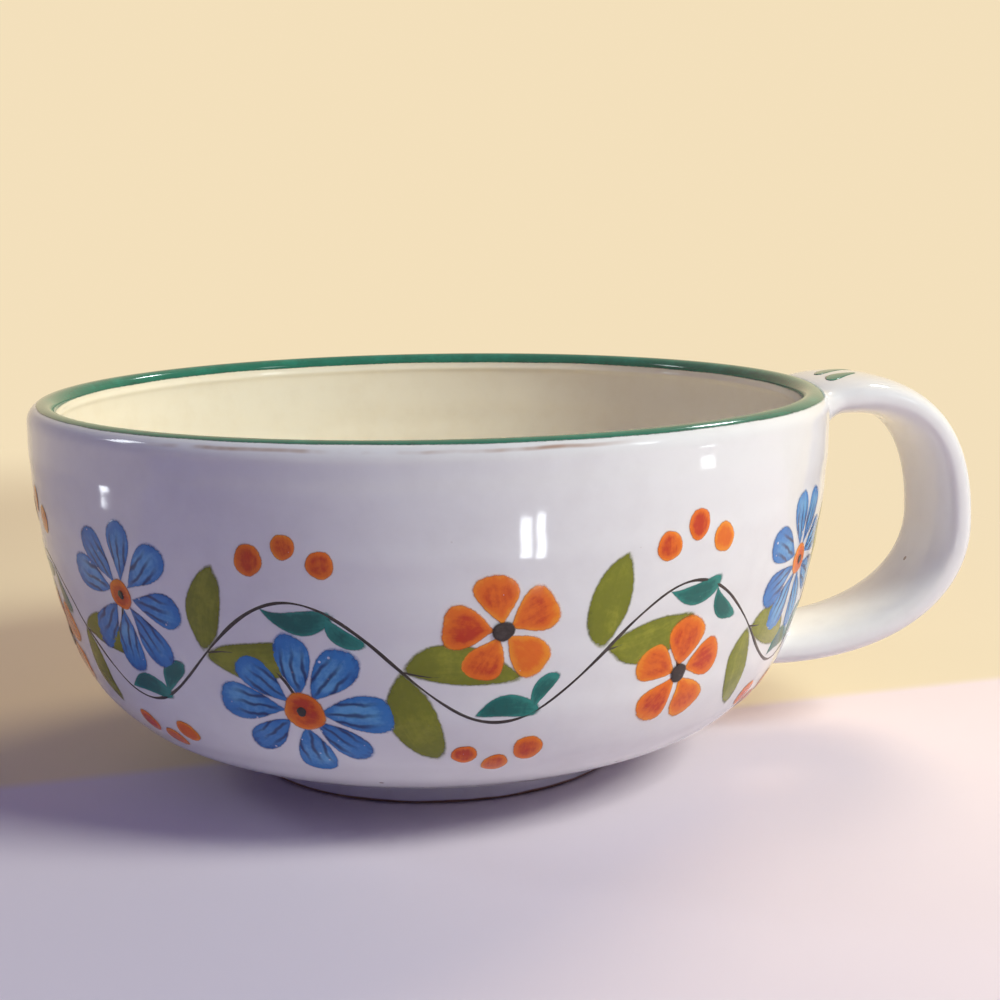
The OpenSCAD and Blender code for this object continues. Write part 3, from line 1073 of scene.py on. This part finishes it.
def rows_at(phase, side, up, lean, start, length, width, bend):
    """Rows at places beside the stem, each a little off in lean and size."""
    turn, run = vine(phase)
    size = rng.normal(1, 0.07, phase.shape)
    lean = lean + rng.normal(0, 0.08, phase.shape)
    return joined(turn + side/VINE_R, run + up, lean, start, length*size, width*size, bend)


# %% Stems
DARK = brush_colour(
    "dark_stain", (0.10, 0.075, 0.065), (0.035, 0.024, 0.022), (0.014, 0.011, 0.012), 0.5, 0.2, 0.0)
whole = np.linspace(-0.05, WAVES + 0.05, 760)[None, :]
stem_turn, stem_run = vine(whole)
dress(lines("vine_stem", stem_turn, stem_run, 0.54, 1.0), DARK, "green_colour")

flower_phase = np.concatenate([daisy_phase, rosette_phase])
flower_turn = np.concatenate([daisy_turn, rosette_turn])
flower_run = np.concatenate([daisy_run, rosette_run])
t = np.linspace(0, 1, 44)[None, :]
leave_turn, leave_run = vine(flower_phase[:, None] - 0.24)
swing_turn, swing_run = vine(flower_phase[:, None] - 0.04)
swing_run = 0.65*swing_run + 0.35*flower_run[:, None]
early, middle, late = (1 - t)**2, 2*t*(1 - t), t**2
branch_turn = early*leave_turn + middle*swing_turn + late*flower_turn[:, None]
branch_run = early*leave_run + middle*swing_run + late*flower_run[:, None]
dress(lines("vine_branches", branch_turn, branch_run, 0.5, 2.0), DARK, "green_colour")

# %% Leaves
OLIVE = brush_colour(
    "olive_stain", (0.30, 0.31, 0.022), (0.19, 0.205, 0.009), (0.09, 0.105, 0.005), 0.46, 0.15, 0.2)
TEAL = brush_colour(
    "teal_stain", (0.02, 0.24, 0.20), (0.002, 0.12, 0.105), (0.001, 0.045, 0.045), 0.55, -0.3, 0.2)
pair_phase = np.arange(0, WAVES + 0.1, 0.5)
leaf_rows = np.concatenate([
    rows_at(pair_phase, 0, 0, vine_lean(pair_phase) + spread, 0.5, 16.5, 7.2, bend)
    for spread, bend in ((-0.75, 0.3), (0.75, -0.3))])
dress(dabs("leaves_olive", leaf_rows, almond_outline, 0.05, 0.0, 0.05, 3), OLIVE, "green_colour")

small_phase = np.arange(0.17, WAVES, 0.5)
turned_in = np.where(np.sin(2*np.pi*small_phase) > 0, -1.0, 1.0)
small_rows = np.concatenate([
    rows_at(phase, 0, 0, vine_lean(phase) - spread*turned_in, 0.3, length, width, 0.5*turned_in)
    for phase, spread, length, width in (
        (small_phase, 0.8, 10.0, 4.6), (small_phase + 0.16, 0.7, 9.0, 4.4))])
dress(dabs("leaves_teal", small_rows, drop_outline, 0.06, 0.0, 0.05, 4), TEAL, "green_colour")

# %% Flowers
BLUE = brush_colour(
    "blue_stain", (0.12, 0.39, 0.70), (0.032, 0.20, 0.54), (0.008, 0.075, 0.30), 0.40, 0.35, 0.75,
    (0.007, 0.021, 0.115))
ORANGE = brush_colour(
    "orange_stain", (0.88, 0.27, 0.010), (0.80, 0.15, 0.003), (0.56, 0.035, 0.001), 0.78, -0.55, 0.3)
daisy_rows = ring_rows(daisy_turn, daisy_run, 8, 2.0, 11.6, 7.0)
dress(dabs("daisy_petals", daisy_rows, drop_outline, 0.05, 0.02, 0.04, 5), BLUE, "green_colour")


def dot_rows(phase, way):
    """Three dots in a bow over a crest of the stem, or under a trough."""
    side, up = np.tile([-5.4, 0.0, 5.4], WAVES), way*np.tile([6.2, 9.0, 6.2], WAVES)
    return rows_at(np.repeat(waves + phase, 3), side, up, 0.0, -2.6, 5.2, 4.8, 0.0)


rosette_rows = ring_rows(rosette_turn, rosette_run, 5, 0.7, 9.0, 8.2)
spot_rows = np.concatenate([
    dot_rows(0.25, 1.0), dot_rows(0.75, -1.0), ring_rows(daisy_turn, daisy_run, 1, -3.1, 6.2, 6.2)])
pip_rows = np.concatenate([
    ring_rows(rosette_turn, rosette_run, 1, -1.7, 3.4, 3.4),
    ring_rows(daisy_turn, daisy_run, 1, -0.9, 1.8, 1.8)])
dress(dabs("rosette_petals", rosette_rows, drop_outline, 0.07, 0.02, 0.05, 6), ORANGE, "green_colour")
dress(dabs("orange_dots", spot_rows, round_outline, 0.08, 0.03, 0.04, 7), ORANGE, "green_colour")
dress(dabs("flower_pips", pip_rows, round_outline, 0.12, 0.13, 0.06, 8), DARK, "green_colour")

# %% [markdown]
# ## Floor, light and background
# The mug stands on the edge of a sheet of pale paper, on a warm beige table. Far
# off, the table turns into a wall that is only a colour: floor and world show it
# to the camera and in reflections, but light the mug with a dim blue. The main
# lamp stands at the front right, a warm one behind on the right, and a smaller
# one on each side. Weak lamps that only reflections see give more glints.

# %% Floor
FLOOR = rgb(0.77, 0.70, 0.79)
# Painted warm light: the lighter, warmer colour that the paper turns to on the right.
FLOOR_PAINTED_WARM_LIGHT = rgb(0.92, 0.80, 0.82)
TABLE = rgb(0.86, 0.74, 0.51)
BACK = rgb(0.90, 0.745, 0.50)
FILL = rgb(0.03, 0.03, 0.18)
FLOOR_SIDES = 96
FLOOR_SINK = 0.05
floor_rings = np.array([20.0, 100.0, 300.0, 1000.0, 4000.0])[:, None]
floor_points = spun(floor_rings, full_turn(FLOOR_SIDES), -FLOOR_SINK)
floor_points = np.concatenate([floor_points.reshape(-1, 3), [[0.0, 0.0, -FLOOR_SINK]]])


def far_colour(user):
    """Wall colour to the camera and in reflections, a dim blue to all other rays, for a node
    that uses it."""
    path = put(user.id_data, "LightPath").outputs
    seen = sums("MAXIMUM", path["Is Camera Ray"], path["Is Glossy Ray"])
    return blend(seen, FILL, BACK)


def floor_finish():
    """Paper in front of a straight line, table behind it, and wall colour far off. A point
    lies behind the line by y less a share of x. Towards the right the paper is painted
    lighter and warmer, as painted warm light. The wall colour starts nearer behind the line
    than in front of it, and later on the left, where the mug's shadow falls."""
    material, shader, place = new_material("floor", FLOOR)
    far = after("VectorMath", {0: place}, operation="LENGTH").outputs[1]
    spot = after("SeparateXYZ", {0: place}).outputs
    behind = times(spot[0], -0.16, spot[1])
    on_table = ramp(behind, -0.002, 0.004)
    # Painted warm light: towards the right the paper turns lighter and warmer.
    paper = blend(ramp(spot[0], 0.0, 0.16), FLOOR, FLOOR_PAINTED_WARM_LIGHT)
    plug(shader, {"Base Color": blend(on_table, paper, TABLE), "Roughness": 0.6})
    shine = after("Emission", {"Color": far_colour(shader), "Strength": 1.0}).outputs[0]
    away = after("VectorMath", {0: place, 1: (-0.10, 0.12, 0.0)}, operation="DISTANCE").outputs[1]
    early = times(on_table, ramp(away, 0.13, 0.30))
    late = ramp(far, 0.30, 0.70)
    share = sums("MAXIMUM", early, late)
    mixed = after("MixShader", {0: share, 1: shader.outputs[0], 2: shine})
    plug(material.node_tree.nodes["Material Output"], {0: mixed.outputs[0]})
    return material


floor_quads = ring_faces(len(floor_rings), FLOOR_SIDES)
floor_fan = fan_faces(0, FLOOR_SIDES, len(floor_points) - 1, True)
floor = new_piece("floor", floor_points, floor_quads, floor_fan)
floor.data.materials.append(floor_finish())

# %% Lamps and world
MIDDLE = (0.0, 0.0, 0.04)
DAY = (0.90, 0.96, 1.0)


def lamp(name, place, size, power, colour=DAY, aim=MIDDLE, shape="RECTANGLE"):
    """A flat lamp whose back axis points from the aim to its place."""
    light = bpy.data.lights.new(name, "AREA")
    light.shape = shape
    light.size, light.size_y = size
    light.energy = power
    light.color = colour
    holder = add(name, light)
    back = unit(np.array(place) - np.array(aim))
    right = unit(np.cross([0, 0, 1], back))
    holder.matrix_world = placed(right, np.cross(back, right), back, place)
    return holder


main = lamp("main", (0.606, -0.440, 0.625), (0.3, 0.3), 7.7, (0.96, 1.0, 0.86))
warm = lamp("warm", (0.499, 0.499, 0.676), (0.45, 0.45), 4.6, (1.0, 0.80, 0.47), shape="ELLIPSE")
for large in (main, warm):
    large.visible_glossy = False
lamp("left", (-0.753, 0.202, 0.49), (0.12, 0.16), 0.65)
lamp("window", (0.62, -0.41, 0.50), (0.10, 0.16), 0.3)
FRONT = (0.006, -0.070, 0.052)
panes = [
    lamp("sun", (0.46, 0.46, 0.62), (0.10, 0.10), 0.9, shape="ELLIPSE"),
    lamp("pane_a", (0.0428, -0.1756, 0.009), (0.008, 0.016), 0.006, aim=FRONT),
    lamp("pane_b", (0.0528, -0.1718, 0.009), (0.006, 0.020), 0.006, aim=FRONT),
    lamp("pane_left", (-0.175, -0.005, 0.026), (0.010, 0.005), 0.0018, aim=(-0.055, -0.044, 0.056)),
    lamp("pane_right", (0.158, -0.097, 0.044), (0.013, 0.005), 0.0014, aim=(0.035, -0.062, 0.063))]
for pane in panes:
    pane.visible_camera = False
    pane.visible_diffuse = False

world = bpy.data.worlds.new("studio")
scene.world = world
world.use_nodes = True
backdrop = world.node_tree.nodes["Background"]
plug(backdrop, {"Color": far_colour(backdrop)})
print("lamps:", sorted(light.name for light in bpy.data.lights))
